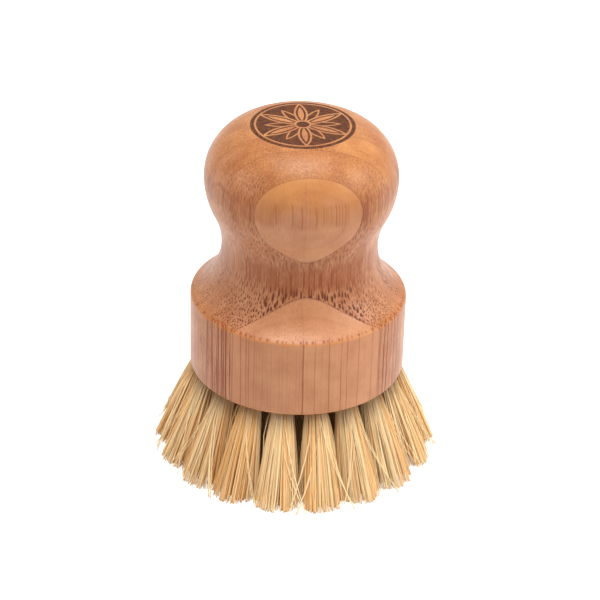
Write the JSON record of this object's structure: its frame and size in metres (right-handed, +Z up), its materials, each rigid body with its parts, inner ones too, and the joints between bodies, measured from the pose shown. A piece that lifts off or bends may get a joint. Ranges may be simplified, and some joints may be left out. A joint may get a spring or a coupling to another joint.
{
  "type": "palm brush",
  "caption": "Round palm brush: a turned, waisted handle of glued bamboo layers with a flat crown, and splayed tufts of plant fibre anchored in the underside of its drum-shaped base.",
  "frame": {"origin": "on the surface that the brush stands on, under the middle of the handle, at the trimmed bristle tips", "axes": "+Z up through the crown, -Y to the front, where the front bamboo layer shows, +X to the right; the glue lines are planes across Y"},
  "size_m": [0.0656, 0.0652, 0.0824],
  "materials": {
    "bamboo_face": "smooth turned bamboo, lightly oiled",
    "bamboo_dense": "smooth turned bamboo with close dark fibres",
    "bamboo_pale": "smooth turned bamboo with sparse fibres",
    "plant_fibre": "dry plant fibre",
    "anchor_wire": "flat drawn wire"
  },
  "bodies": {
    "root": {"back_base_ply": "bamboo_face", "back_head_ply": "bamboo_face", "centre_tuft_01": "plant_fibre", "front_base_ply": "bamboo_face", "front_head_ply": "bamboo_face", "inner_anchors": "anchor_wire", "inner_ply_1": "bamboo_dense", "inner_ply_2": "bamboo_pale", "inner_ply_3": "bamboo_dense", "inner_ply_4": "bamboo_pale", "inner_ply_5": "bamboo_dense", "inner_ply_6": "bamboo_pale", "inner_tuft_01": "plant_fibre", "inner_tuft_02": "plant_fibre", "inner_tuft_03": "plant_fibre", "inner_tuft_04": "plant_fibre", "inner_tuft_05": "plant_fibre", "inner_tuft_06": "plant_fibre", "middle_anchors": "anchor_wire", "middle_tuft_01": "plant_fibre", "middle_tuft_02": "plant_fibre", "middle_tuft_03": "plant_fibre", "middle_tuft_04": "plant_fibre", "middle_tuft_05": "plant_fibre", "middle_tuft_06": "plant_fibre", "middle_tuft_07": "plant_fibre", "middle_tuft_08": "plant_fibre", "middle_tuft_09": "plant_fibre", "middle_tuft_10": "plant_fibre", "middle_tuft_11": "plant_fibre", "middle_tuft_12": "plant_fibre", "outer_anchors": "anchor_wire", "outer_tuft_01": "plant_fibre", "outer_tuft_02": "plant_fibre", "outer_tuft_03": "plant_fibre", "outer_tuft_04": "plant_fibre", "outer_tuft_05": "plant_fibre", "outer_tuft_06": "plant_fibre", "outer_tuft_07": "plant_fibre", "outer_tuft_08": "plant_fibre", "outer_tuft_09": "plant_fibre", "outer_tuft_10": "plant_fibre", "outer_tuft_11": "plant_fibre", "outer_tuft_12": "plant_fibre", "outer_tuft_13": "plant_fibre", "outer_tuft_14": "plant_fibre", "outer_tuft_15": "plant_fibre", "outer_tuft_16": "plant_fibre", "outer_tuft_17": "plant_fibre", "outer_tuft_18": "plant_fibre"}
  },
  "joints": []
}
